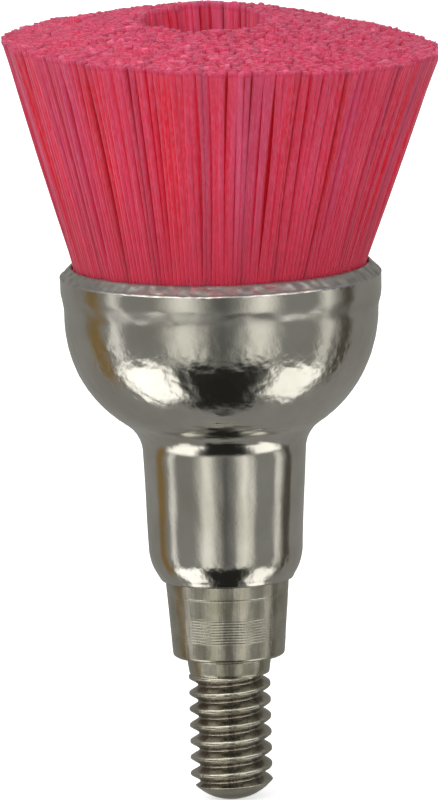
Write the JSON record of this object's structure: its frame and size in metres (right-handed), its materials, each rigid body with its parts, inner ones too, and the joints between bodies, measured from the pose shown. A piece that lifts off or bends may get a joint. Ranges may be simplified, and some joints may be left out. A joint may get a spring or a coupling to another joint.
{
  "type": "prophy brush",
  "caption": "Screw-in dental polishing brush: flared pink nylon bristles held in a plated cup-shaped ferrule on a turned stud with a right-hand thread.",
  "frame": {"origin": "on the brush's axis, in the plane of the collar's shoulder face, where the driver's head meets the stud", "axes": "+Z along the axis from the thread towards the bristles' face; the brush is round, so +X is any side, and the pictured view looks along +Y"},
  "size_m": [0.0106, 0.0106, 0.0193],
  "materials": {
    "plated_ferrule": "bright nickel plate over drawn metal, slightly uneven",
    "plated_stud": "nickel plate over turned metal with fine tool rings",
    "anchor_wire": "drawn wire, dull",
    "pink_nylon": "translucent extruded nylon filament"
  },
  "bodies": {
    "holder": {"ferrule": "plated_ferrule", "threaded_stud": "plated_stud", "anchor_ring": "anchor_wire", "bristle_roots": "pink_nylon"},
    "lock_01": {"bristle_lock_01": "pink_nylon"},
    "lock_02": {"bristle_lock_02": "pink_nylon"},
    "lock_03": {"bristle_lock_03": "pink_nylon"},
    "lock_04": {"bristle_lock_04": "pink_nylon"},
    "lock_05": {"bristle_lock_05": "pink_nylon"},
    "lock_06": {"bristle_lock_06": "pink_nylon"},
    "lock_07": {"bristle_lock_07": "pink_nylon"},
    "lock_08": {"bristle_lock_08": "pink_nylon"},
    "lock_09": {"bristle_lock_09": "pink_nylon"},
    "lock_10": {"bristle_lock_10": "pink_nylon"},
    "lock_11": {"bristle_lock_11": "pink_nylon"},
    "lock_12": {"bristle_lock_12": "pink_nylon"},
    "lock_13": {"bristle_lock_13": "pink_nylon"},
    "lock_14": {"bristle_lock_14": "pink_nylon"},
    "lock_15": {"bristle_lock_15": "pink_nylon"},
    "lock_16": {"bristle_lock_16": "pink_nylon"},
    "lock_17": {"bristle_lock_17": "pink_nylon"},
    "lock_18": {"bristle_lock_18": "pink_nylon"},
    "lock_19": {"bristle_lock_19": "pink_nylon"},
    "lock_20": {"bristle_lock_20": "pink_nylon"},
    "lock_21": {"bristle_lock_21": "pink_nylon"},
    "lock_22": {"bristle_lock_22": "pink_nylon"},
    "lock_23": {"bristle_lock_23": "pink_nylon"},
    "lock_24": {"bristle_lock_24": "pink_nylon"}
  },
  "joints": [
    {"name": "splay_01", "type": "hinge", "parent": "holder", "child": "lock_01", "pos_m": [0.0036, 0, 0.00972], "axis": [0, 1, 0], "range_deg": [0, 20], "stiffness_Nm_per_rad": 0.001},
    {"name": "splay_02", "type": "hinge", "parent": "holder", "child": "lock_02", "pos_m": [0.00348, 0.00093, 0.00972], "axis": [-0.2588, 0.9659, 0], "range_deg": [0, 20], "stiffness_Nm_per_rad": 0.001},
    {"name": "splay_03", "type": "hinge", "parent": "holder", "child": "lock_03", "pos_m": [0.00312, 0.0018, 0.00972], "axis": [-0.5, 0.866, 0], "range_deg": [0, 20], "stiffness_Nm_per_rad": 0.001},
    {"name": "splay_04", "type": "hinge", "parent": "holder", "child": "lock_04", "pos_m": [0.00255, 0.00255, 0.00972], "axis": [-0.7071, 0.7071, 0], "range_deg": [0, 20], "stiffness_Nm_per_rad": 0.001},
    {"name": "splay_05", "type": "hinge", "parent": "holder", "child": "lock_05", "pos_m": [0.0018, 0.00312, 0.00972], "axis": [-0.866, 0.5, 0], "range_deg": [0, 20], "stiffness_Nm_per_rad": 0.001},
    {"name": "splay_06", "type": "hinge", "parent": "holder", "child": "lock_06", "pos_m": [0.00093, 0.00348, 0.00972], "axis": [-0.9659, 0.2588, 0], "range_deg": [0, 20], "stiffness_Nm_per_rad": 0.001},
    {"name": "splay_07", "type": "hinge", "parent": "holder", "child": "lock_07", "pos_m": [0, 0.0036, 0.00972], "axis": [-1, 0, 0], "range_deg": [0, 20], "stiffness_Nm_per_rad": 0.001},
    {"name": "splay_08", "type": "hinge", "parent": "holder", "child": "lock_08", "pos_m": [-0.00093, 0.00348, 0.00972], "axis": [-0.9659, -0.2588, 0], "range_deg": [0, 20], "stiffness_Nm_per_rad": 0.001},
    {"name": "splay_09", "type": "hinge", "parent": "holder", "child": "lock_09", "pos_m": [-0.0018, 0.00312, 0.00972], "axis": [-0.866, -0.5, 0], "range_deg": [0, 20], "stiffness_Nm_per_rad": 0.001},
    {"name": "splay_10", "type": "hinge", "parent": "holder", "child": "lock_10", "pos_m": [-0.00255, 0.00255, 0.00972], "axis": [-0.7071, -0.7071, 0], "range_deg": [0, 20], "stiffness_Nm_per_rad": 0.001},
    {"name": "splay_11", "type": "hinge", "parent": "holder", "child": "lock_11", "pos_m": [-0.00312, 0.0018, 0.00972], "axis": [-0.5, -0.866, 0], "range_deg": [0, 20], "stiffness_Nm_per_rad": 0.001},
    {"name": "splay_12", "type": "hinge", "parent": "holder", "child": "lock_12", "pos_m": [-0.00348, 0.00093, 0.00972], "axis": [-0.2588, -0.9659, 0], "range_deg": [0, 20], "stiffness_Nm_per_rad": 0.001},
    {"name": "splay_13", "type": "hinge", "parent": "holder", "child": "lock_13", "pos_m": [-0.0036, 0, 0.00972], "axis": [0, -1, 0], "range_deg": [0, 20], "stiffness_Nm_per_rad": 0.001},
    {"name": "splay_14", "type": "hinge", "parent": "holder", "child": "lock_14", "pos_m": [-0.00348, -0.00093, 0.00972], "axis": [0.2588, -0.9659, 0], "range_deg": [0, 20], "stiffness_Nm_per_rad": 0.001},
    {"name": "splay_15", "type": "hinge", "parent": "holder", "child": "lock_15", "pos_m": [-0.00312, -0.0018, 0.00972], "axis": [0.5, -0.866, 0], "range_deg": [0, 20], "stiffness_Nm_per_rad": 0.001},
    {"name": "splay_16", "type": "hinge", "parent": "holder", "child": "lock_16", "pos_m": [-0.00255, -0.00255, 0.00972], "axis": [0.7071, -0.7071, 0], "range_deg": [0, 20], "stiffness_Nm_per_rad": 0.001},
    {"name": "splay_17", "type": "hinge", "parent": "holder", "child": "lock_17", "pos_m": [-0.0018, -0.00312, 0.00972], "axis": [0.866, -0.5, 0], "range_deg": [0, 20], "stiffness_Nm_per_rad": 0.001},
    {"name": "splay_18", "type": "hinge", "parent": "holder", "child": "lock_18", "pos_m": [-0.00093, -0.00348, 0.00972], "axis": [0.9659, -0.2588, 0], "range_deg": [0, 20], "stiffness_Nm_per_rad": 0.001},
    {"name": "splay_19", "type": "hinge", "parent": "holder", "child": "lock_19", "pos_m": [0, -0.0036, 0.00972], "axis": [1, 0, 0], "range_deg": [0, 20], "stiffness_Nm_per_rad": 0.001},
    {"name": "splay_20", "type": "hinge", "parent": "holder", "child": "lock_20", "pos_m": [0.00093, -0.00348, 0.00972], "axis": [0.9659, 0.2588, 0], "range_deg": [0, 20], "stiffness_Nm_per_rad": 0.001},
    {"name": "splay_21", "type": "hinge", "parent": "holder", "child": "lock_21", "pos_m": [0.0018, -0.00312, 0.00972], "axis": [0.866, 0.5, 0], "range_deg": [0, 20], "stiffness_Nm_per_rad": 0.001},
    {"name": "splay_22", "type": "hinge", "parent": "holder", "child": "lock_22", "pos_m": [0.00255, -0.00255, 0.00972], "axis": [0.7071, 0.7071, 0], "range_deg": [0, 20], "stiffness_Nm_per_rad": 0.001},
    {"name": "splay_23", "type": "hinge", "parent": "holder", "child": "lock_23", "pos_m": [0.00312, -0.0018, 0.00972], "axis": [0.5, 0.866, 0], "range_deg": [0, 20], "stiffness_Nm_per_rad": 0.001},
    {"name": "splay_24", "type": "hinge", "parent": "holder", "child": "lock_24", "pos_m": [0.00348, -0.00093, 0.00972], "axis": [0.2588, 0.9659, 0], "range_deg": [0, 20], "stiffness_Nm_per_rad": 0.001}
  ]
}
